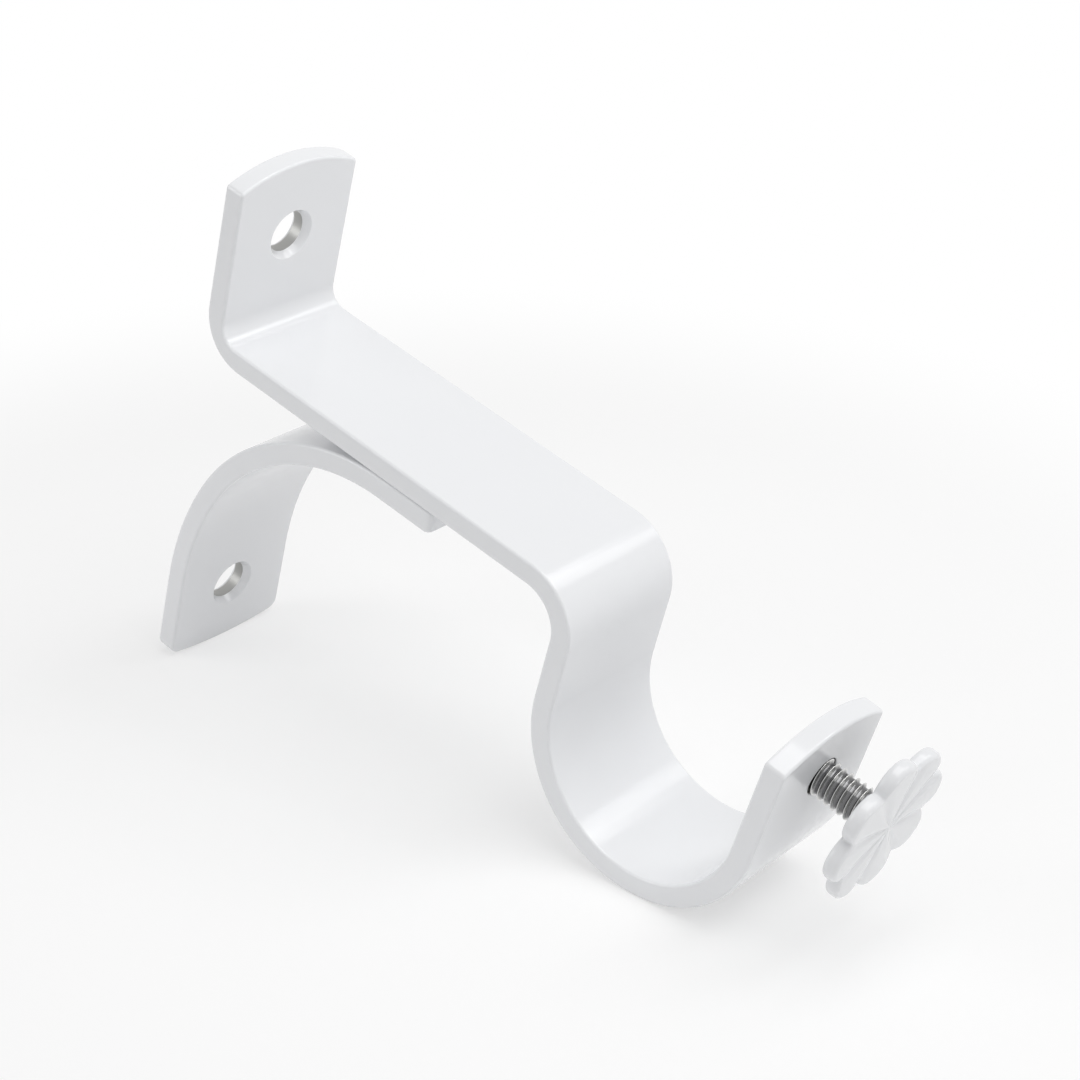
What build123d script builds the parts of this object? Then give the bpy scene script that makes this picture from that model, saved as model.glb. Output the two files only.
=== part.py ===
from build123d import *
from math import atan, cos, degrees, radians, sin, sqrt
import os

# Curtain pole bracket bent from two flat steel bars, with a thumb screw that clamps the pole.
# Frame: the wall is the plane x = 0, +X points into the room, +Z up, Y runs along the pole.
# The origin is on the wall, midway between the two fixing holes. All lengths are millimetres.

# Flat bar that both bent pieces are made from
bar_width = 20.0
bar_thickness = 3.0
edge_chamfer = 0.4
corner_round = 1.2

# Fixing holes in the two wall tabs
hole_spacing = 57.0
hole_radius = 2.9
countersink_radius = 3.5
countersink_depth = 1.1
top_hole_to_end = 10.6
bottom_hole_to_end = 9.3

# Curved saw cuts across the ends of the bars
end_cut_radius = 24.0
foot_cut_radius = 60.0

# Arm: wall tab, rear bend, level run, front bend and drop
hole_to_arm = 14.35
rear_bend_inner_radius = 2.5
rear_bend_outer_radius = 6.8
front_bend_radius = 5.25

# Cradle for the pole and the short upright in front of it
pole_diameter = 28.0
pole_clearance = 0.1
pole_reach = 79.7
pole_below_arm = 15.4
upright_height = 15.3
upright_lean = 2.0

# Brace: a second bar that curves from the lower wall tab up to the underside of the arm
brace_reach = 41.8
brace_lower_radius = 46.5
brace_lower_turn = 23.0
brace_upper_radius = 32.0
brace_end_round = 1.0

# Thumb screw
screw_radius = 2.5
screw_length = 12.0
screw_height = 7.9
screw_clearance = 0.05
screw_chamfer = 0.5
knob_gap = 8.0

# Flower knob
petal_count = 8
petal_radius = 3.2
petal_circle_radius = 7.0
petal_start_angle = 11.0
knob_thickness = 2.0
knob_chamfer = 0.5
notch_round = 0.4
knob_socket_depth = 1.2
groove_radius = 1.5
groove_depth = 0.3
groove_start = 1.0

# Heights and distances worked out from the sizes above
top_hole_z = hole_spacing / 2
bottom_hole_z = -hole_spacing / 2
arm_under_z = top_hole_z - hole_to_arm - bar_thickness / 2
top_end_z = top_hole_z + top_hole_to_end
foot_z = bottom_hole_z - bottom_hole_to_end
cradle_radius = pole_diameter / 2 + pole_clearance
cradle_outer_radius = cradle_radius + bar_thickness
pole_z = arm_under_z + bar_thickness / 2 - pole_below_arm
drop_back_x = pole_reach - cradle_outer_radius
cradle_turn = 180 - upright_lean
countersink_angle = 2 * degrees(atan((countersink_radius - hole_radius) / countersink_depth))

# Plane on the outer face of the front upright: local y runs up it, its normal points outwards
upright_plane = Plane(
    origin=(pole_reach + cradle_outer_radius * cos(radians(upright_lean)), 0,
            pole_z - cradle_outer_radius * sin(radians(upright_lean))),
    x_dir=(0, 1, 0),
    z_dir=(cos(radians(upright_lean)), 0, -sin(radians(upright_lean))),
)
upright_end = (upright_height + cradle_outer_radius * sin(radians(upright_lean))) / cos(radians(upright_lean))
screw_local_y = (screw_height + cradle_outer_radius * sin(radians(upright_lean))) / cos(radians(upright_lean))

# Planes across the ends of the bars: local y points out of the end, the normal points off the bar's face
top_end_plane = Plane(origin=(bar_thickness, 0, top_end_z), x_dir=(0, 1, 0), z_dir=(1, 0, 0))
foot_end_plane = Plane(origin=(bar_thickness, 0, foot_z), x_dir=(0, -1, 0), z_dir=(1, 0, 0))
upright_end_plane = Plane(
    origin=upright_plane.from_local_coords((0, upright_end, 0)),
    x_dir=upright_plane.x_dir,
    z_dir=upright_plane.z_dir,
)

# Screw axis: starts on the outer face of the upright and points outwards through the knob
screw_plane = Plane(
    origin=upright_plane.from_local_coords((0, screw_local_y, 0)),
    x_dir=upright_plane.x_dir,
    z_dir=upright_plane.z_dir,
)


def end_waste(end_plane, cut_radius):
    """The metal that a curved cut takes off a bar's end, as a solid to be removed."""
    sagitta = cut_radius - sqrt(cut_radius ** 2 - (bar_width / 2) ** 2)
    with BuildPart() as waste:
        with BuildSketch(end_plane.offset(bar_thickness)):
            with Locations((0, -sagitta)):
                Rectangle(bar_width * 2, bar_width, align=(Align.CENTER, Align.MIN))
            with Locations((0, -cut_radius)):
                Circle(cut_radius, mode=Mode.SUBTRACT)
        extrude(amount=-3 * bar_thickness)
    return waste.part


# Arm strip: one bar, drawn along its back and under side and given its thickness on the other.
# The rear bend is drawn sharp and rounded afterwards, because pressing it leaves the bar thinner there.
with BuildPart() as arm_strip:
    with BuildSketch(Plane.XZ):
        with BuildLine():
            tab = Line((0, top_end_z), (0, arm_under_z))
            run = Line(tab @ 1, (drop_back_x - front_bend_radius, arm_under_z))
            front_bend = JernArc(run @ 1, run % 1, front_bend_radius, -90)
            drop = Line(front_bend @ 1, (drop_back_x, pole_z))
            cradle = JernArc(drop @ 1, drop % 1, cradle_outer_radius, cradle_turn)
            upright = Line(cradle @ 1, cradle @ 1 + upright_end * (cradle % 1))
            offset(amount=bar_thickness, side=Side.LEFT, closed=True)
        make_face()
    extrude(amount=bar_width / 2, both=True)
    rear_corners = arm_strip.edges().filter_by(Axis.Y).sort_by_distance((0, 0, arm_under_z))
    fillet(rear_corners[0], rear_bend_outer_radius)
    rear_corners = arm_strip.edges().filter_by(Axis.Y).sort_by_distance(
        (bar_thickness, 0, arm_under_z + bar_thickness))
    fillet(rear_corners[0], rear_bend_inner_radius)
    add(end_waste(top_end_plane, end_cut_radius), mode=Mode.SUBTRACT)
    add(end_waste(upright_end_plane, end_cut_radius), mode=Mode.SUBTRACT)
    chamfer(arm_strip.edges(), edge_chamfer)
    with Locations(Plane(origin=(bar_thickness, 0, top_hole_z), x_dir=(0, 1, 0), z_dir=(1, 0, 0))):
        CounterSinkHole(hole_radius, countersink_radius, bar_thickness, countersink_angle)
    with Locations(screw_plane):
        Hole(screw_radius + screw_clearance, bar_thickness)

# Brace strip: two arcs that run into each other, then a short flat length welded under the arm
lower_turn = radians(brace_lower_turn)
brace_curve_height = brace_lower_radius * sin(lower_turn) + brace_upper_radius * (1 - sin(lower_turn))
with BuildPart() as brace_strip:
    with BuildSketch(Plane.XZ):
        with BuildLine():
            foot = Line((0, foot_z), (0, arm_under_z - brace_curve_height))
            lower_curve = JernArc(foot @ 1, foot % 1, brace_lower_radius, -brace_lower_turn)
            upper_curve = JernArc(lower_curve @ 1, lower_curve % 1, brace_upper_radius, brace_lower_turn - 90)
            flat = Line(upper_curve @ 1, (brace_reach, arm_under_z))
            offset(amount=bar_thickness, side=Side.RIGHT, closed=True)
        make_face()
    extrude(amount=bar_width / 2, both=True)
    add(end_waste(foot_end_plane, foot_cut_radius), mode=Mode.SUBTRACT)
    foot_corners = brace_strip.edges().filter_by(Axis.X).group_by(Axis.Z)[0]
    fillet(foot_corners, corner_round)
    end_corners = brace_strip.edges().filter_by(Axis.Z).group_by(Axis.X)[-1]
    fillet(end_corners, brace_end_round)
    chamfer(brace_strip.edges(), edge_chamfer)
    with Locations(Plane(origin=(bar_thickness, 0, bottom_hole_z), x_dir=(0, 1, 0), z_dir=(1, 0, 0))):
        CounterSinkHole(hole_radius, countersink_radius, bar_thickness, countersink_angle)

# Screw shaft: its tip stands just inside the cradle, its outer end is held in the knob
with BuildPart() as screw_shaft:
    with BuildSketch(screw_plane.offset(knob_gap - screw_length)):
        Circle(screw_radius)
    extrude(amount=screw_length + knob_socket_depth)
    shaft_tip = screw_shaft.edges().sort_by(Axis.X)[0]
    chamfer(shaft_tip, screw_chamfer)

# Flower knob: eight petals round a disc, with a shallow groove between each pair
screw_axis = Axis(screw_plane.origin, screw_plane.z_dir)
with BuildPart() as flower_knob:
    with BuildSketch(screw_plane.offset(knob_gap)) as knob_outline:
        Circle(petal_circle_radius)
        with PolarLocations(petal_circle_radius, petal_count, start_angle=petal_start_angle):
            Circle(petal_radius)
        fillet(knob_outline.vertices(), notch_round)
    extrude(amount=knob_thickness)
    chamfer(flower_knob.faces().filter_by(screw_axis).edges(), knob_chamfer)
    with Locations(screw_plane.offset(knob_gap)):
        Cylinder(screw_radius + screw_clearance, knob_socket_depth + screw_clearance,
                 align=(Align.CENTER, Align.CENTER, Align.MIN), mode=Mode.SUBTRACT)
    with Locations(screw_plane.offset(knob_gap + knob_thickness + groove_radius - groove_depth)):
        with PolarLocations(groove_start, petal_count, start_angle=petal_start_angle + 180 / petal_count):
            Cylinder(groove_radius, petal_circle_radius + petal_radius, rotation=(0, 90, 0),
                     align=(Align.CENTER, Align.CENTER, Align.MIN), mode=Mode.SUBTRACT)

os.makedirs("parts", exist_ok=True)
arm_strip.part.label = "arm_strip"
export_step(arm_strip.part, "parts/arm_strip.step")
brace_strip.part.label = "brace_strip"
export_step(brace_strip.part, "parts/brace_strip.step")
screw_shaft.part.label = "screw_shaft"
export_step(screw_shaft.part, "parts/screw_shaft.step")
flower_knob.part.label = "flower_knob"
export_step(flower_knob.part, "parts/flower_knob.step")
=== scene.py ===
# %% [markdown]
# # Curtain pole bracket
#
# The object is a wall bracket bent from two flat steel bars and coated gloss white. It carries a 28 mm pole in a
# U cradle, and a steel thumb screw with a flower-shaped knob clamps the pole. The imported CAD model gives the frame:
# +X points out from the wall, +Z up, Y along the pole, in metres.

# %% Load the CAD frame
import math

import bmesh
import bpy
from mathutils import Matrix, Vector


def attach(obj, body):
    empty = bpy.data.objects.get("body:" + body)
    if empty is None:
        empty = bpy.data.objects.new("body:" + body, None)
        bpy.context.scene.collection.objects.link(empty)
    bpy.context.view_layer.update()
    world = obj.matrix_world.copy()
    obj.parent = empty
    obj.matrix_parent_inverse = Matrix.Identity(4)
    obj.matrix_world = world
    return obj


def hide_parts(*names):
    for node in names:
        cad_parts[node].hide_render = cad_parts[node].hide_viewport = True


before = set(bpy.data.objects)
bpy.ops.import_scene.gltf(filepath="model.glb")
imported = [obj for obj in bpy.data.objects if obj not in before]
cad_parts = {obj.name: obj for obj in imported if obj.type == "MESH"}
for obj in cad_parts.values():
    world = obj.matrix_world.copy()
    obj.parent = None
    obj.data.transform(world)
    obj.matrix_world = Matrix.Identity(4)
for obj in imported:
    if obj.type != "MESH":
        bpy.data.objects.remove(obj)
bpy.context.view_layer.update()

MM = 0.001
print("CAD nodes:", sorted(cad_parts))

# %% [markdown]
# ## Sizes of the two bars
#
# The visual bars repeat the driving sizes of the CAD model, because the script can't read its source. Everything
# is in millimetres until a finished mesh is scaled to metres.

# %% Sizes shared by the bars
BAR_WIDTH = 20.0
BAR_THICKNESS = 3.0
EDGE_ROUND = 0.4
HOLE_SPACING = 57.0
HOLE_RADIUS = 2.9
COUNTERSINK_RADIUS = 3.5
COUNTERSINK_DEPTH = 1.1
ARM_UNDER = 12.65
POLE_REACH = 79.7
POLE_HEIGHT = -1.25
CRADLE_RADIUS = 14.1
CRADLE_OUTER = CRADLE_RADIUS + BAR_THICKNESS
UPRIGHT_LEAN = math.radians(2)
SCREW_HEIGHT = 7.9
print("the cradle is", 2 * CRADLE_RADIUS, "mm across inside")

# %% [markdown]
# ## A bar that is cut flat, drilled and then bent
#
# The real bars are sheared from flat stock, drilled, tumbled so that their edges are round, and bent last. The
# script goes the same way. A flat blank is cheap to cut and bevel well, and a bend is then only a rule that carries
# each point of the blank to its place. Sweeping a profile along a curve would make the bends too, but not the
# curved ends and the holes.


# %% The rule that bends a blank
def make_bend(start, heading, steps, side):
    """Return the bar's length, its arcs, and a function that carries a point of the blank to its place.

    steps are (length, 0) for a straight run and (radius, degrees) for an arc, counter-clockwise positive, in the
    XZ plane. side is 1 where the bar's thickness lies left of its path and -1 where it lies right.
    """
    legs, place, angle, gone = [], Vector(start), math.radians(heading), 0.0
    for size, turn in steps:
        sweep = math.radians(turn)
        length = size if turn == 0 else size * abs(sweep)
        legs.append((gone, length, place.copy(), angle, size, sweep))
        if turn == 0:
            place += length * Vector((math.cos(angle), math.sin(angle)))
        else:
            bow = math.copysign(size, sweep)
            place += bow * Vector((math.sin(angle + sweep) - math.sin(angle),
                                   math.cos(angle) - math.cos(angle + sweep)))
            angle += sweep
        gone += length

    def carry(along, across, height):
        first, length, origin, facing, size, sweep = next(
            (leg for leg in reversed(legs) if along >= leg[0] - 1e-6), legs[0])
        if sweep:
            turned = facing + sweep * (along - first) / length
            bow = math.copysign(size, sweep)
            origin = origin + bow * Vector((math.sin(turned) - math.sin(facing),
                                            math.cos(facing) - math.cos(turned)))
        else:
            turned = facing
            origin = origin + (along - first) * Vector((math.cos(facing), math.sin(facing)))
        spot = origin + side * height * Vector((-math.sin(turned), math.cos(turned)))
        return Vector((spot.x, across, spot.y))

    arcs = [(first, length, sweep) for first, length, _, _, _, sweep in legs if sweep]
    return gone, arcs, carry


# %% [markdown]
# The blank is a plain outline with curved ends, given its thickness. Its corners are rounded first and all its
# long edges after them, so that the edge rounding runs round the corners as tumbling leaves it.


# %% A flat blank with curved ends and rounded edges
def end_curve(cut_radius, corner, steps=28):
    """Points across a bar's end, from -Y to +Y: how far the curved cut lies inside the end, and where.

    No point stands between a corner and the end of its rounding, because the rounding would fold back over it.
    """
    points = []
    for i in range(steps + 1):
        y = BAR_WIDTH * (i / steps - 0.5)
        if i in (0, steps) or BAR_WIDTH / 2 - abs(y) > corner:
            points.append((cut_radius - math.sqrt(cut_radius ** 2 - y ** 2) if cut_radius else 0.0, y))
    return points if cut_radius else [points[0], points[-1]]


def flat_blank(length, start_cut, end_cut, start_round, end_round):
    """Mesh of a blank from 0 to length, with one curved cut and one corner radius at each end."""
    outline = end_curve(start_cut, start_round)
    outline += [(length - s, y) for s, y in reversed(end_curve(end_cut, end_round))]
    mesh = bmesh.new()
    face = mesh.faces.new([mesh.verts.new((s, y, 0)) for s, y in outline])
    top = bmesh.ops.extrude_face_region(mesh, geom=[face])
    for vertex in [v for v in top["geom"] if isinstance(v, bmesh.types.BMVert)]:
        vertex.co.z = BAR_THICKNESS
    bmesh.ops.recalc_face_normals(mesh, faces=mesh.faces)
    for at_end, radius in ((False, start_round), (True, end_round)):
        corners = [e for e in mesh.edges if abs(e.verts[0].co.z - e.verts[1].co.z) > 1
                   and abs(abs(e.verts[0].co.y) - BAR_WIDTH / 2) < 1e-4
                   and (e.verts[0].co.x > length / 2) == at_end]
        bmesh.ops.bevel(mesh, geom=corners, offset=radius, segments=6, profile=0.5, affect="EDGES")
    rims = [e for e in mesh.edges if abs(e.verts[0].co.z - e.verts[1].co.z) < 1e-4
            and abs(e.calc_face_angle(0)) > 0.5]
    bmesh.ops.bevel(mesh, geom=rims, offset=EDGE_ROUND, segments=5, profile=0.5, affect="EDGES")
    return mesh


# %% [markdown]
# The holes are cut while the bar is flat. The cutter is a turned shape, like a countersink bit with its drill, so
# one function makes the plain hole and the countersunk one. Hardly any powder reaches the drilled wall, so its
# faces carry an attribute that the finish reads, and a sharp edge parts them from the coated ones.

# %% Cut a round hole, break its rim and mark its wall
ON_RADIUS = 2e-3


def turned(profile, along, sides=72):
    """Mesh of a (radius, height) profile turned round an upright axis at a distance along the blank."""
    mesh = bmesh.new()
    rings = []
    for radius, height in profile:
        rings.append([mesh.verts.new((along + radius * math.cos(2 * math.pi * k / sides),
                                      radius * math.sin(2 * math.pi * k / sides), height)) for k in range(sides)])
    for low, high in zip(rings, rings[1:]):
        for k in range(sides):
            mesh.faces.new((low[k], low[(k + 1) % sides], high[(k + 1) % sides], high[k]))
    mesh.faces.new(list(reversed(rings[0])))
    mesh.faces.new(rings[-1])
    return mesh


def as_object(name, mesh):
    """Put a bmesh into the scene as an object."""
    data = bpy.data.meshes.new(name)
    mesh.to_mesh(data)
    mesh.free()
    piece = bpy.data.objects.new(name, data)
    bpy.context.scene.collection.objects.link(piece)
    return piece


def evaluated(piece, name):
    """A plain mesh of what the object's modifiers give."""
    bpy.context.view_layer.update()
    result = bpy.data.meshes.new_from_object(piece.evaluated_get(bpy.context.evaluated_depsgraph_get()))
    result.name = name
    return result


def drill(blank, cutter_profile, along, rims):
    """Cut one hole into a flat blank and round its rims, given as (radius, height, rounding)."""
    bar = as_object("blank", blank)
    bit = as_object("bit", turned(cutter_profile, along))
    cut = bar.modifiers.new("hole", "BOOLEAN")
    cut.operation, cut.solver, cut.object = "DIFFERENCE", "EXACT", bit
    result = bmesh.new()
    result.from_mesh(evaluated(bar, "drilled"))
    for piece in (bar, bit):
        bpy.data.objects.remove(piece)
    for radius, height, rounding in rims:
        rim = [e for e in result.edges if all(
            abs(math.hypot(v.co.x - along, v.co.y) - radius) < ON_RADIUS and abs(v.co.z - height) < ON_RADIUS
            for v in e.verts)]
        bmesh.ops.bevel(result, geom=rim, offset=rounding, segments=3, profile=0.5, affect="EDGES")
    drill_radius = cutter_profile[0][0]
    bore = result.faces.layers.float.get("bore") or result.faces.layers.float.new("bore")
    for face in result.faces:
        drilled = all(abs(math.hypot(v.co.x - along, v.co.y) - drill_radius) < ON_RADIUS for v in face.verts)
        face[bore] = float(drilled or face[bore] > 0)
    for edge in result.edges:
        if len({face[bore] for face in edge.link_faces}) > 1:
            edge.smooth = False
    return result


BACK_RIM_ROUND = 0.4
CONE_RIM_ROUND = 0.12
CONE = (COUNTERSINK_RADIUS - HOLE_RADIUS) / COUNTERSINK_DEPTH
COUNTERSUNK_BIT = [(HOLE_RADIUS, -1), (HOLE_RADIUS, BAR_THICKNESS - COUNTERSINK_DEPTH),
                   (COUNTERSINK_RADIUS + CONE, BAR_THICKNESS + 1)]
COUNTERSUNK_RIMS = [(COUNTERSINK_RADIUS, BAR_THICKNESS, CONE_RIM_ROUND), (HOLE_RADIUS, 0, BACK_RIM_ROUND)]


# %% Bend the blank and make it a finished piece
def bend_blank(name, blank, arcs, carry, degrees=2.5):
    """Slice the blank finely where it bends, carry its points to their places and scale it to metres."""
    for first, length, sweep in arcs:
        slices = max(2, math.ceil(abs(math.degrees(sweep)) / degrees))
        for k in range(slices + 1):
            bmesh.ops.bisect_plane(blank, geom=blank.verts[:] + blank.edges[:] + blank.faces[:], dist=1e-5,
                                   plane_co=(first + length * k / slices, 0, 0), plane_no=(1, 0, 0))
    for vertex in blank.verts:
        vertex.co = carry(*vertex.co) * MM
    bmesh.ops.recalc_face_normals(blank, faces=blank.faces)
    # Which side is out is guessed from the outermost face, and on a bowed bar the guess can be wrong.
    if blank.calc_volume(signed=True) < 0:
        bmesh.ops.reverse_faces(blank, faces=blank.faces)
    for face in blank.faces:
        face.smooth = True
    rough = as_object("bent", blank)
    weighted = rough.modifiers.new("normals", "WEIGHTED_NORMAL")
    weighted.keep_sharp = True
    piece = bpy.data.objects.new(name, evaluated(rough, name))
    bpy.context.scene.collection.objects.link(piece)
    bpy.data.objects.remove(rough)
    print(name, "has", len(piece.data.polygons), "faces")
    return piece


# %% [markdown]
# ## The arm
#
# One bar makes the upper wall tab, the level arm, the U cradle and the short upright in front. Its path runs along
# the back and the underside, as in the CAD model, and its thickness lies to the left of it. The rear bend was
# pressed into a tight inside corner, so the two sides of the bar don't share a centre there.

# %% Arm
TOP_HOLE_TO_END = 10.6
REAR_OUTER = 6.8
REAR_INNER = 2.5
FRONT_BEND = 5.25
UPRIGHT_HEIGHT = 15.3
ARM_END_CUT = 24.0
ARM_CORNER = 0.45
top_hole = HOLE_SPACING / 2
top_end = top_hole + TOP_HOLE_TO_END
drop_back = POLE_REACH - CRADLE_OUTER
rear_start = top_end - ARM_UNDER - REAR_OUTER
upright_length = (UPRIGHT_HEIGHT + CRADLE_OUTER * math.sin(UPRIGHT_LEAN)) / math.cos(UPRIGHT_LEAN)
screw_along = (SCREW_HEIGHT + CRADLE_OUTER * math.sin(UPRIGHT_LEAN)) / math.cos(UPRIGHT_LEAN)
arm_length, arm_arcs, arm_carry = make_bend((0, top_end), -90, [
    (rear_start, 0),
    (REAR_OUTER, 90),
    (drop_back - FRONT_BEND - REAR_OUTER, 0),
    (FRONT_BEND, -90),
    (ARM_UNDER - FRONT_BEND - POLE_HEIGHT, 0),
    (CRADLE_OUTER, 180 - math.degrees(UPRIGHT_LEAN)),
    (upright_length, 0),
], side=1)


def squeezed(along):
    """Share of the thickness left at a distance along the arm: the press thins the bar in its rear bend."""
    angle = (along - rear_start) / REAR_OUTER
    if not 0 < angle < math.pi / 2:
        return 1.0
    # Seen from the middle of the outer arc, the inner side is two flats joined by a smaller arc.
    flat = REAR_OUTER - BAR_THICKNESS
    aside = flat - REAR_INNER
    reach = flat / max(math.cos(angle), math.sin(angle))
    if min(math.tan(angle), 1 / math.tan(angle)) > aside / flat:
        nearest = aside * (math.cos(angle) + math.sin(angle))
        reach = nearest + math.sqrt(nearest ** 2 - 2 * aside ** 2 + REAR_INNER ** 2)
    return (REAR_OUTER - reach) / BAR_THICKNESS


def press_arm(along, across, height):
    """Where a point of the arm's blank ends up."""
    return arm_carry(along, across, height * squeezed(along))


TAPPED_RADIUS = 2.55
TAPPED_RIM_ROUND = 0.15
tapped_along = arm_length - upright_length + screw_along
blank = flat_blank(arm_length, ARM_END_CUT, ARM_END_CUT, ARM_CORNER, ARM_CORNER)
# The upright's outer face is the bar's lower side, so its hole is a plain one with both rims broken.
blank = drill(blank, COUNTERSUNK_BIT, top_end - top_hole, COUNTERSUNK_RIMS)
blank = drill(blank, [(TAPPED_RADIUS, -1), (TAPPED_RADIUS, BAR_THICKNESS + 1)], tapped_along,
              [(TAPPED_RADIUS, 0, TAPPED_RIM_ROUND), (TAPPED_RADIUS, BAR_THICKNESS, TAPPED_RIM_ROUND)])
arm = bend_blank("arm_bar", blank, arm_arcs, press_arm)

# %% [markdown]
# ## The brace
#
# A second bar carries the load from the arm back to the wall. Below its lower hole it ends in a shallow curved
# cut, and its upper end has rounded corners where it is welded flat under the arm.

# %% Brace
BOTTOM_HOLE_TO_END = 9.3
LOWER_CURVE = 46.5
LOWER_TURN = 23
UPPER_CURVE = 32.0
BRACE_REACH = 41.8
FOOT_CUT = 60.0
FOOT_CORNER = 1.2
WELD_END_CORNER = 1.0
bottom_hole = -HOLE_SPACING / 2
foot_end = bottom_hole - BOTTOM_HOLE_TO_END
rise, run = math.sin(math.radians(LOWER_TURN)), math.cos(math.radians(LOWER_TURN))
curve_height = LOWER_CURVE * rise + UPPER_CURVE * (1 - rise)
curve_reach = LOWER_CURVE * (1 - run) + UPPER_CURVE * run
brace_length, brace_arcs, brace_carry = make_bend((0, foot_end), 90, [
    (ARM_UNDER - curve_height - foot_end, 0),
    (LOWER_CURVE, -LOWER_TURN),
    (UPPER_CURVE, LOWER_TURN - 90),
    (BRACE_REACH - curve_reach, 0),
], side=-1)
blank = flat_blank(brace_length, FOOT_CUT, 0.0, FOOT_CORNER, WELD_END_CORNER)
blank = drill(blank, COUNTERSUNK_BIT, bottom_hole - foot_end, COUNTERSUNK_RIMS)
brace = bend_blank("brace_bar", blank, brace_arcs, brace_carry)

# %% [markdown]
# ## Nodes for threads, petals and finishes
#
# Geometry trees and materials are both node trees, so one small function adds a node to either, with its settings
# and its links.


# %% One function that adds a node
def add_node(tree, kind, inputs=None, **settings):
    """Add a node. Settings are its own properties; an input is a value, or the node or output that feeds it."""
    node = tree.nodes.new(kind)
    for key, value in settings.items():
        setattr(node, key, value)
    for key, value in (inputs or {}).items():
        if isinstance(value, bpy.types.Node):
            value = value.outputs[0]
        if isinstance(value, bpy.types.NodeSocket):
            tree.links.new(value, node.inputs[key])
        else:
            node.inputs[key].default_value = value
    return node


def geometry_tree(name, inputs):
    """A Geometry Nodes tree with named inputs: numbers are lengths or plain values, whole numbers are counts."""
    tree = bpy.data.node_groups.new(name, "GeometryNodeTree")
    for label, value in inputs.items():
        kind = "NodeSocketInt" if isinstance(value, int) else "NodeSocketFloat"
        if isinstance(value, bpy.types.Material):
            kind = "NodeSocketMaterial"
        socket = tree.interface.new_socket(label, in_out="INPUT", socket_type=kind)
        if not isinstance(value, bpy.types.Material):
            socket.default_value = value
    tree.interface.new_socket("Geometry", in_out="OUTPUT", socket_type="NodeSocketGeometry")
    given = tree.nodes.new("NodeGroupInput").outputs
    return tree, {label: given[label] for label in inputs}


def grow(name, tree, inputs, place):
    """Run a tree with these inputs, put the result at its place and return it as a plain object."""
    seed = bpy.data.objects.new("seed", bpy.data.meshes.new("seed"))
    bpy.context.scene.collection.objects.link(seed)
    modifier = seed.modifiers.new(name, "NODES")
    modifier.node_group = tree
    for item in tree.interface.items_tree:
        if item.in_out == "INPUT" and item.name in inputs:
            modifier[item.identifier] = inputs[item.name]
    grown = evaluated(seed, name)
    bpy.data.objects.remove(seed)
    grown.transform(place)
    piece = bpy.data.objects.new(name, grown)
    bpy.context.scene.collection.objects.link(piece)
    print(name, "has", len(grown.polygons), "faces")
    return piece


# %% [markdown]
# ## Finishes
#
# **Powder-coated steel.** The bars are dusted with polyester powder and baked. The film flows but keeps a faint
# orange peel about a millimetre and a half across, which breaks up the edges of reflections. It's a glossy
# dielectric with an IOR near 1.5. The walls of the drilled holes stay bare, so there the eye sees dull grey steel.
#
# **White enamel.** The knob's coat is as glossy as the bars', a shade greyer, and its peel is a little wider.


# %% Colours are written as sRGB hex and turned to linear in one place
def linear(hex_colour):
    """Linear RGBA of an sRGB hex colour."""
    channels = [int(hex_colour[i:i + 2], 16) / 255 for i in (1, 3, 5)]
    return (*[c / 12.92 if c <= 0.04045 else ((c + 0.055) / 1.055) ** 2.4 for c in channels], 1.0)


def new_material(name):
    """An empty material with an output, and the Object coordinates in millimetres."""
    material = bpy.data.materials.new(name)
    material.use_nodes = True
    tree = material.node_tree
    tree.nodes.clear()
    place = add_node(tree, "ShaderNodeTexCoord").outputs["Object"]
    millimetres = add_node(tree, "ShaderNodeVectorMath", {0: place, 1: (1000, 1000, 1000)},
                           operation="MULTIPLY").outputs[0]
    return material, tree, millimetres


DRIFT_WIDTH = 18
BORE_DULLNESS = 0.3


def powder_coat(name, colour, shade, roughness, peel_width, peel_depth):
    """Baked coat: two close tones, a faint orange peel, and dull steel where a drilled hole is bare."""
    material, tree, place = new_material(name)
    drift = add_node(tree, "ShaderNodeTexNoise", {"Vector": place, "Scale": 1 / DRIFT_WIDTH, "Detail": 2.0})
    tone = add_node(tree, "ShaderNodeMix", {"Factor": drift, "A": linear(colour), "B": linear(shade)},
                    data_type="RGBA")
    bore = add_node(tree, "ShaderNodeAttribute", attribute_name="bore").outputs["Fac"]
    surface = add_node(tree, "ShaderNodeMix", {
        "Factor": bore, "A": tone.outputs["Result"], "B": linear("#A2A2A0")}, data_type="RGBA")
    gloss = add_node(tree, "ShaderNodeMapRange", {
        "Value": drift, "To Min": roughness - 0.02, "To Max": roughness + 0.02})
    dulled = add_node(tree, "ShaderNodeMath", {0: bore, 1: BORE_DULLNESS, 2: gloss}, operation="MULTIPLY_ADD")
    peel = add_node(tree, "ShaderNodeTexNoise", {"Vector": place, "Scale": 1 / peel_width, "Detail": 1.0})
    bump = add_node(tree, "ShaderNodeBump", {"Height": peel, "Distance": peel_depth * MM, "Strength": 1.0})
    shader = add_node(tree, "ShaderNodeBsdfPrincipled", {
        "Base Color": surface.outputs["Result"], "Metallic": bore, "Roughness": dulled, "Normal": bump,
        "IOR": 1.5})
    add_node(tree, "ShaderNodeOutputMaterial", {"Surface": shader})
    return material


bar_coat = powder_coat("white_powder_coat", "#EDEEF0", "#EBECEE", 0.14, 1.6, 0.003)
knob_coat = powder_coat("white_knob_enamel", "#E9EAEC", "#E6E7E9", 0.14, 2.2, 0.004)
print("coats:", bar_coat.name, "and", knob_coat.name)
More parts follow.
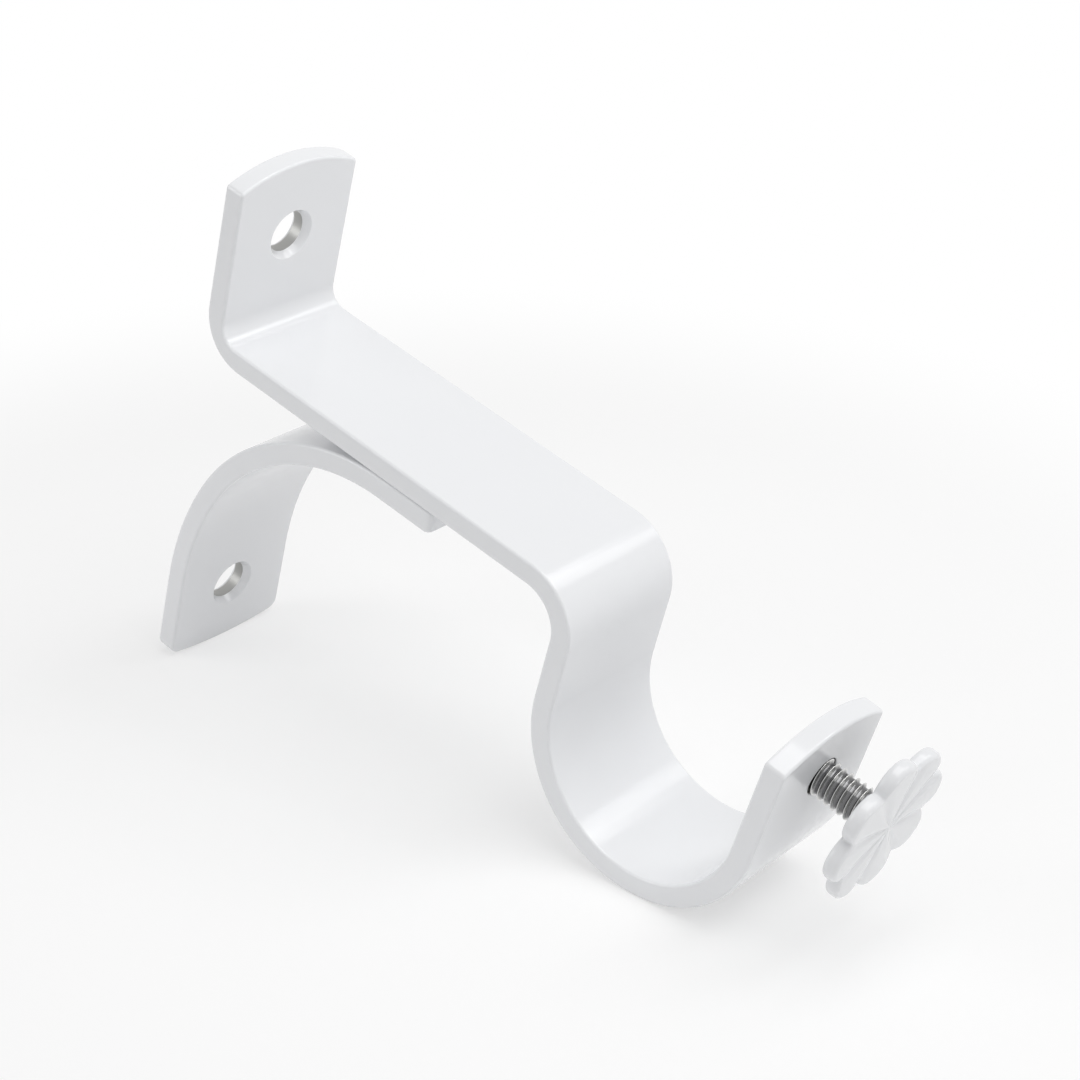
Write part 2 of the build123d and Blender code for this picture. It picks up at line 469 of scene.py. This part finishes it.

# %% [markdown]
# ** Zinc-plated steel.** The screw's thread is rolled and then plated bright. Its base colour holds painted light: the
# crests are painted pale, a painted highlight that draws them as thin lines, and the roots are painted dark as
# painted shade, with spots of light between the crests. It's a metal, so it keeps the default IOR. A grain a third of
# a millimetre wide blurs those spots a little.


# %% Zinc plate
GRAIN_WIDTH = 0.35


def zinc_plate(name):
    """Bright plated steel, painted pale on the crests as a highlight and dark in the roots as shade."""
    material, tree, place = new_material(name)
    depth = add_node(tree, "ShaderNodeAttribute", attribute_name="root").outputs["Fac"]
    # Painted light: the pale crest colour is a painted highlight and the dark root colour is painted shade.
    tone = add_node(tree, "ShaderNodeMix", {"Factor": depth, "A": linear("#ECECEA"), "B": linear("#565658")},
                    data_type="RGBA")
    grain = add_node(tree, "ShaderNodeTexNoise", {"Vector": place, "Scale": 1 / GRAIN_WIDTH, "Detail": 2.0})
    bump = add_node(tree, "ShaderNodeBump", {"Height": grain, "Distance": 0.01 * MM, "Strength": 1.0})
    shader = add_node(tree, "ShaderNodeBsdfPrincipled", {
        "Base Color": tone.outputs["Result"], "Metallic": 1.0, "Roughness": 0.15, "Normal": bump})
    add_node(tree, "ShaderNodeOutputMaterial", {"Surface": shader})
    return material


zinc = zinc_plate("bright_zinc_plate")
print("plate:", zinc.name)

# %% [markdown]
# ## The screw's thread
#
# A thread is a rule: the radius at a point depends only on how far it is along the axis and round it, and the
# pattern moves on by one pitch each turn. So the shaft is a finely divided cylinder whose points are moved in by
# that rule. A real thread rolled on a 5 mm screw is about 0.5 mm deep with sharp flanks at 60 degrees.

# %% A tree that threads a shaft
SCREW_RADIUS = 2.5
PITCH = 0.95
THREAD_DEPTH = 0.5
KNOB_GAP = 8.0
SCREW_LENGTH = 12.0
SOCKET_DEPTH = 1.2

thread_inputs = {"Radius": SCREW_RADIUS, "Pitch": PITCH, "Thread depth": THREAD_DEPTH,
                 "Length": SCREW_LENGTH + SOCKET_DEPTH, "Point chamfer": 0.6, "Sides": 96, "Rings": 330,
                 "Material": zinc}
tree, given = geometry_tree("rolled_thread", thread_inputs)
shaft = add_node(tree, "GeometryNodeMeshCylinder", {
    "Vertices": given["Sides"], "Side Segments": given["Rings"], "Radius": given["Radius"],
    "Depth": given["Length"]})
place = add_node(tree, "ShaderNodeSeparateXYZ", {0: add_node(tree, "GeometryNodeInputPosition")}).outputs
rule = {**given, "x": place["X"], "y": place["Y"], "z": place["Z"]}
# Each line adds one step of the rule: its name, what it does, and the values or earlier steps that it takes.
for name, operation, *values in (
        ("angle", "ARCTAN2", "y", "x"),
        ("turn", "DIVIDE", "angle", 2 * math.pi),
        ("turns along", "DIVIDE", "z", "Pitch"),
        ("phase", "SUBTRACT", "turns along", "turn"),
        ("flank", "PINGPONG", "phase", 0.5),
        ("from crest", "MULTIPLY", "flank", 2.0),
        ("ridge", "SUBTRACT", 1.0, "from crest"),
        ("narrowed", "POWER", "ridge", 2.6),
        ("rounded root", "SMOOTH_MAX", "narrowed", 0.06, 0.2),
        ("crest", "SMOOTH_MIN", "rounded root", 0.94, 0.08),
        ("root", "SUBTRACT", 1.0, "crest"),
        ("cut", "MULTIPLY", "root", "Thread depth"),
        ("threaded", "SUBTRACT", "Radius", "cut"),
        ("half length", "MULTIPLY", "Length", 0.5),
        ("from point", "ADD", "z", "half length"),
        ("at point", "SUBTRACT", "Radius", "Point chamfer"),
        ("limit", "ADD", "from point", "at point"),
        ("radius", "MINIMUM", "threaded", "limit"),
        ("share", "DIVIDE", "radius", "Radius"),
        ("new x", "MULTIPLY", "x", "share"),
        ("new y", "MULTIPLY", "y", "share")):
    rule[name] = add_node(tree, "ShaderNodeMath", {i: rule.get(v, v) for i, v in enumerate(values)},
                          operation=operation)
moved = add_node(tree, "ShaderNodeCombineXYZ", {"X": rule["new x"], "Y": rule["new y"], "Z": rule["from point"]})
# The root share is kept on the points, and the plate reads it to paint shade into the roots and a highlight onto the
# crests.
marked = add_node(tree, "GeometryNodeStoreNamedAttribute", {
    "Geometry": shaft, "Name": "root", "Value": rule["root"]}, data_type="FLOAT", domain="POINT")
shaped = add_node(tree, "GeometryNodeSetPosition", {"Geometry": marked, "Position": moved})
smooth = add_node(tree, "GeometryNodeSetShadeSmooth", {"Geometry": shaped})
real = add_node(tree, "GeometryNodeRealizeInstances", {"Geometry": smooth})
finished = add_node(tree, "GeometryNodeSetMaterial", {"Geometry": real, "Material": given["Material"]})
add_node(tree, "NodeGroupOutput", {0: finished})

# %% Put the screw on its axis
screw_spot = arm_carry(tapped_along, 0, 0)
outwards = Vector((math.cos(UPRIGHT_LEAN), 0, -math.sin(UPRIGHT_LEAN)))
up = Vector((math.sin(UPRIGHT_LEAN), 0, math.cos(UPRIGHT_LEAN)))
across = up.cross(outwards)


def on_screw_axis(distance):
    """The place at a distance in millimetres out from the upright, with z along the screw, in metres."""
    spot = (screw_spot + outwards * distance) * MM
    return Matrix((
        (across.x * MM, up.x * MM, outwards.x * MM, spot.x),
        (across.y * MM, up.y * MM, outwards.y * MM, spot.y),
        (across.z * MM, up.z * MM, outwards.z * MM, spot.z),
        (0, 0, 0, 1)))


screw = grow("screw_thread", tree, thread_inputs, on_screw_axis(KNOB_GAP - SCREW_LENGTH))
print("the screw leaves the upright at", [round(c, 2) for c in screw_spot], "mm")

# %% [markdown]
# ## The flower knob
#
# The knob is a pressed disc with eight petals. Its outline is also a rule: each petal is part of a circle, and
# neighbours meet in a rounded notch. The tree takes a cylinder whose ends are divided into rings, moves each ring
# out to its share of the outline, rolls the rim over and presses a shallow groove between every two petals. The
# grooves follow a cosine wave round the knob, so that they fan out to the notches and leave no crease on a petal.

# %% A tree that shapes a flower disc
knob_inputs = {"Petals": 8, "Petal radius": 3.2, "Petal circle": 7.0, "Notch softness": 0.7, "Thickness": 2.0,
               "Rim round": 0.7, "Groove depth": 0.27, "Groove sharpness": 3.5, "Groove start": 3.0,
               "Dish": 0.1, "Sides": 256, "Rings": 36, "Material": knob_coat}
tree, given = geometry_tree("flower_disc", knob_inputs)
disc = add_node(tree, "GeometryNodeMeshCylinder", {
    "Vertices": given["Sides"], "Side Segments": 5, "Fill Segments": given["Rings"], "Radius": 1.0, "Depth": 2.0},
    fill_type="TRIANGLE_FAN")
place = add_node(tree, "ShaderNodeSeparateXYZ", {0: add_node(tree, "GeometryNodeInputPosition")}).outputs
rule = {**given, "x": place["X"], "y": place["Y"], "z": place["Z"]}
for name, operation, *values in (
        # The outline: how far the nearest petal, or its neighbour, reaches at this angle
        ("angle", "ARCTAN2", "y", "x"),
        ("slice", "DIVIDE", 2 * math.pi, "Petals"),
        ("half slice", "DIVIDE", "slice", 2.0),
        ("from petal", "PINGPONG", "angle", "half slice"),
        ("from neighbour", "SUBTRACT", "slice", "from petal"),
        ("radius squared", "MULTIPLY", "Petal radius", "Petal radius"),
        ("sine", "SINE", "from petal"),
        ("aside", "MULTIPLY", "Petal circle", "sine"),
        ("aside squared", "MULTIPLY", "aside", "aside"),
        ("room", "SUBTRACT", "radius squared", "aside squared"),
        ("bulge", "SQRT", "room"),
        ("cosine", "COSINE", "from petal"),
        ("outwards", "MULTIPLY", "Petal circle", "cosine"),
        ("petal reach", "ADD", "outwards", "bulge"),
        ("next sine", "SINE", "from neighbour"),
        ("next aside", "MULTIPLY", "Petal circle", "next sine"),
        ("next squared", "MULTIPLY", "next aside", "next aside"),
        ("next room", "SUBTRACT", "radius squared", "next squared"),
        ("next inside", "MAXIMUM", "next room", 0.0),
        ("next bulge", "SQRT", "next inside"),
        ("next cosine", "COSINE", "from neighbour"),
        ("next outwards", "MULTIPLY", "Petal circle", "next cosine"),
        ("neighbour reach", "ADD", "next outwards", "next bulge"),
        ("outline", "SMOOTH_MAX", "petal reach", "neighbour reach", "Notch softness"),
        # The rings crowd towards the rim, where the edge rolls over
        ("x squared", "MULTIPLY", "x", "x"),
        ("square", "MULTIPLY_ADD", "y", "y", "x squared"),
        ("distance", "SQRT", "square"),
        ("ring", "MINIMUM", "distance", 1.0),
        ("inside", "SUBTRACT", 1.0, "ring"),
        ("crowded", "POWER", "inside", 2.2),
        ("rim gap", "MULTIPLY", "outline", "crowded"),
        ("rho", "SUBTRACT", "outline", "rim gap"),
        ("short of it", "SUBTRACT", "Rim round", "rim gap"),
        ("into round", "MAXIMUM", "short of it", 0.0),
        ("into squared", "MULTIPLY", "into round", "into round"),
        ("round squared", "MULTIPLY", "Rim round", "Rim round"),
        ("rise squared", "SUBTRACT", "round squared", "into squared"),
        ("rise", "SQRT", "rise squared"),
        ("rolled", "SUBTRACT", "Rim round", "rise"),
        # The groove between two petals, which starts a little way out, and the dished middle
        ("from notch", "SUBTRACT", "half slice", "from petal"),
        ("notch turn", "MULTIPLY", "from notch", "Petals"),
        ("wave", "COSINE", "notch turn"),
        ("half wave", "MULTIPLY_ADD", "wave", 0.5, 0.5),
        ("valley", "POWER", "half wave", "Groove sharpness"),
        ("run in", "DIVIDE", "rho", "Groove start"),
        ("fade in", "SMOOTH_MIN", "run in", 1.0, 0.5),
        ("full groove", "MULTIPLY", "valley", "fade in"),
        ("groove", "MULTIPLY", "Groove depth", "full groove"),
        ("share out", "DIVIDE", "rho", "outline"),
        ("share in", "SUBTRACT", 1.0, "share out"),
        ("dish", "MULTIPLY", "Dish", "share in"),
        # The wall runs from the back's height at the rim to the front's
        ("half", "MULTIPLY", "Thickness", 0.5),
        ("back height", "SUBTRACT", "rolled", "half"),
        ("pressed in", "ADD", "groove", "dish"),
        ("taken off", "ADD", "rolled", "pressed in"),
        ("front height", "SUBTRACT", "half", "taken off"),
        ("apart", "SUBTRACT", "front height", "back height"),
        ("up wall", "MULTIPLY_ADD", "z", 0.5, 0.5),
        ("height", "MULTIPLY_ADD", "apart", "up wall", "back height"),
        ("turn x", "COSINE", "angle"),
        ("turn y", "SINE", "angle"),
        ("new x", "MULTIPLY", "rho", "turn x"),
        ("new y", "MULTIPLY", "rho", "turn y")):
    rule[name] = add_node(tree, "ShaderNodeMath", {i: rule.get(v, v) for i, v in enumerate(values)},
                          operation=operation)
shape = add_node(tree, "ShaderNodeCombineXYZ", {"X": rule["new x"], "Y": rule["new y"], "Z": rule["height"]})
pressed = add_node(tree, "GeometryNodeSetPosition", {"Geometry": disc, "Position": shape})
smooth = add_node(tree, "GeometryNodeSetShadeSmooth", {"Geometry": pressed})
real = add_node(tree, "GeometryNodeRealizeInstances", {"Geometry": smooth})
finished = add_node(tree, "GeometryNodeSetMaterial", {"Geometry": real, "Material": given["Material"]})
add_node(tree, "NodeGroupOutput", {0: finished})
KNOB_TURN = Matrix.Rotation(math.radians(11), 4, "Z")
knob_middle = KNOB_GAP + knob_inputs["Thickness"] / 2
knob = grow("petal_knob", tree, knob_inputs, on_screw_axis(knob_middle) @ KNOB_TURN)

# %% [markdown]
# ## Which CAD piece each visual piece stands for
#
# The CAD nodes stay for collision. Each visual piece rides on the body of the node that it replaces, so the screw
# and the knob move as they do in the simulation.

# %% Replace the nodes
for piece, node, body, slot, material in (
        (arm, "arm_strip", "bracket", "bar_coat", bar_coat),
        (brace, "brace_strip", "bracket", "bar_coat", bar_coat),
        (screw, "screw_shaft", "screw", "screw_steel", zinc),
        (knob, "flower_knob", "knob", "knob_gloss", knob_coat)):
    piece.data.materials.clear()
    piece.data.materials.append(material)
    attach(piece, body)
    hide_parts(node)
    print(piece.name, "stands for", node)

# %% [markdown]
# ## Floor, light and camera
#
# The photograph shows the bracket resting on its foot and its cradle, so its floor isn't level in the wall's
# frame. The floor is a pale sheet through those two points. Seen by the camera it is white, and where the bracket
# keeps light from it, it shows the soft shadow.

# %% Floor
# The sheet touches two round edges from below: the foot's front edge and the outside of the cradle.
foot_edge = Vector((BAR_THICKNESS - EDGE_ROUND, foot_end + EDGE_ROUND))
cradle_axis = Vector((POLE_REACH, POLE_HEIGHT))
apart = cradle_axis - foot_edge
slope = math.atan2(apart.y, apart.x) - math.asin((CRADLE_OUTER - EDGE_ROUND) / apart.length)
floor_up = Vector((-math.sin(slope), 0, math.cos(slope)))
print("the floor leans", round(math.degrees(slope), 2), "degrees")

FLOOR_REACH = 190.0
HALF_WAY = 45.0
touch = Vector((foot_edge.x, 0, foot_edge.y)) - EDGE_ROUND * floor_up
middle = touch + HALF_WAY * Vector((math.cos(slope), 0, math.sin(slope)))
floor_mesh = bmesh.new()
bmesh.ops.create_circle(floor_mesh, cap_ends=True, segments=96, radius=FLOOR_REACH)
floor = as_object("floor", floor_mesh)
floor.data.transform(Matrix.Translation(middle * MM) @ Matrix.Rotation(-slope, 4, "Y") @ Matrix.Scale(MM, 4))

# %% [markdown]
# **White sheet and white room.** A photographer's sheet is matt and only looks white where it is well lit. Rays
# from the camera, mirrored ones and those through glass see a share of plain white instead, and the rest of what
# they see is the lit paper, which keeps the soft shadow. Light for the bracket comes from the dimmer room.


# %% Rays that see plain white
def white_seen(tree):
    """The socket that is 1 for camera, glossy and transmission rays and 0 for all others."""
    rays = add_node(tree, "ShaderNodeLightPath").outputs
    mirrored = add_node(tree, "ShaderNodeMath", {0: rays["Is Camera Ray"], 1: rays["Is Glossy Ray"]},
                        operation="MAXIMUM")
    return add_node(tree, "ShaderNodeMath", {0: mirrored, 1: rays["Is Transmission Ray"]}, operation="MAXIMUM")


# %% Floor finish: white for the camera, with its shadow
FADE_STARTS = 100
FADE_ENDS = 170
WHITE_SHARE = 0.5
material = bpy.data.materials.new("white_sheet")
material.use_nodes = True
tree = material.node_tree
tree.nodes.clear()
paper = add_node(tree, "ShaderNodeBsdfDiffuse", {"Color": linear("#FAFAFA")})
white = add_node(tree, "ShaderNodeEmission", {"Color": linear("#FFFFFF"), "Strength": 1.0})
spot = add_node(tree, "ShaderNodeTexCoord").outputs["Object"]
away = add_node(tree, "ShaderNodeVectorMath", {0: spot, 1: middle * MM}, operation="DISTANCE").outputs["Value"]
fade = add_node(tree, "ShaderNodeMapRange", {
    "Value": away, "From Min": FADE_STARTS * MM, "From Max": FADE_ENDS * MM, "To Min": WHITE_SHARE, "To Max": 1.0},
    interpolation_type="SMOOTHSTEP")
share = add_node(tree, "ShaderNodeMath", {0: fade, 1: white_seen(tree)}, operation="MULTIPLY")
mixed = add_node(tree, "ShaderNodeMixShader", {0: share, 1: paper, 2: white})
# The sheet leans, so a low view from the front looks at its underside, which is left clear.
underside = add_node(tree, "ShaderNodeNewGeometry").outputs["Backfacing"]
clear = add_node(tree, "ShaderNodeBsdfTransparent")
sheet = add_node(tree, "ShaderNodeMixShader", {0: underside, 1: mixed, 2: clear})
add_node(tree, "ShaderNodeOutputMaterial", {"Surface": sheet})
floor.data.materials.append(material)

# %% World: a plain bright room
world = bpy.data.worlds.new("room")
bpy.context.scene.world = world
world.use_nodes = True
tree = world.node_tree
tree.nodes.clear()
room = add_node(tree, "ShaderNodeBackground", {"Color": linear("#FFFFFF"), "Strength": 0.42})
backdrop = add_node(tree, "ShaderNodeBackground", {"Color": linear("#FFFFFF"), "Strength": 1.0})
mixed = add_node(tree, "ShaderNodeMixShader", {0: white_seen(tree), 1: room, 2: backdrop})
add_node(tree, "ShaderNodeOutputWorld", {"Surface": mixed})

# %% [markdown]
# **Lamps.** The highlights tell where the lamps stand. The streak across the front bend mirrors a softbox behind
# the bracket, and the level faces are the brightest, so the main lamp hangs overhead. Low softboxes in front and on
# the near side lift the upright faces. Their powers were matched to the photograph's tones.

# %% Lamps
LAMP_DISTANCE = 450
LAMP_TARGET = Vector((45, 0, 0))


def soft_box(name, azimuth, elevation, size, power):
    """A square area light turned to the middle of the bracket. Azimuth 0 is out from the wall."""
    turn, rise = math.radians(azimuth), math.radians(elevation)
    towards = Vector((math.cos(rise) * math.cos(turn), math.cos(rise) * math.sin(turn), math.sin(rise)))
    lamp = bpy.data.lights.new(name, "AREA")
    lamp.size, lamp.energy = size * MM, power
    holder = bpy.data.objects.new(name, lamp)
    bpy.context.scene.collection.objects.link(holder)
    holder.location = (LAMP_TARGET + LAMP_DISTANCE * towards) * MM
    holder.rotation_euler = (-towards).to_track_quat("-Z", "Y").to_euler()


for lamp_name, azimuth, elevation, size, power in (
        ("overhead", 0, 88, 300, 0.72),
        ("behind", 70, 62, 220, 0.37),
        ("streak", 70, 47, 110, 0.075),
        ("front", 0, 60, 220, 0.06),
        ("front_low", 0, 12, 220, 0.22),
        ("side_low", 225, 12, 220, 0.36)):
    soft_box(lamp_name, azimuth, elevation, size, power)
print(len(bpy.data.lights), "lamps")

# %% [markdown]
# **Camera.** Its place, turn and focal length in pixels were solved from corners and edges of the bracket in the
# photograph, whose sizes the CAD model gives.

# %% Camera, solved from the photograph
FOCAL_PIXELS = 2431.1
PHOTO_PIXELS = 1080
CAMERA_PLACE = Vector((184.065, -202.698, 184.312))
azimuth, elevation, roll = (math.radians(a) for a in (33.23, 35.57, -14.6))
back = Vector((math.cos(elevation) * math.sin(azimuth), -math.cos(elevation) * math.cos(azimuth),
               math.sin(elevation)))
level_right = (-back).cross(Vector((0, 0, 1))).normalized()
level_down = (-back).cross(level_right)
right = level_right * math.cos(roll) + level_down * math.sin(roll)
down = level_down * math.cos(roll) - level_right * math.sin(roll)
lens = bpy.data.cameras.new("photo_camera")
lens.sensor_width = 36.0
lens.lens = FOCAL_PIXELS / PHOTO_PIXELS * lens.sensor_width
lens.clip_start = 0.01
camera = bpy.data.objects.new("photo_camera", lens)
bpy.context.scene.collection.objects.link(camera)
turned_to = Matrix((right, -down, back)).transposed().to_4x4()
camera.matrix_world = Matrix.Translation(CAMERA_PLACE * MM) @ turned_to
bpy.context.scene.camera = camera
bpy.context.scene.view_settings.view_transform = "Standard"
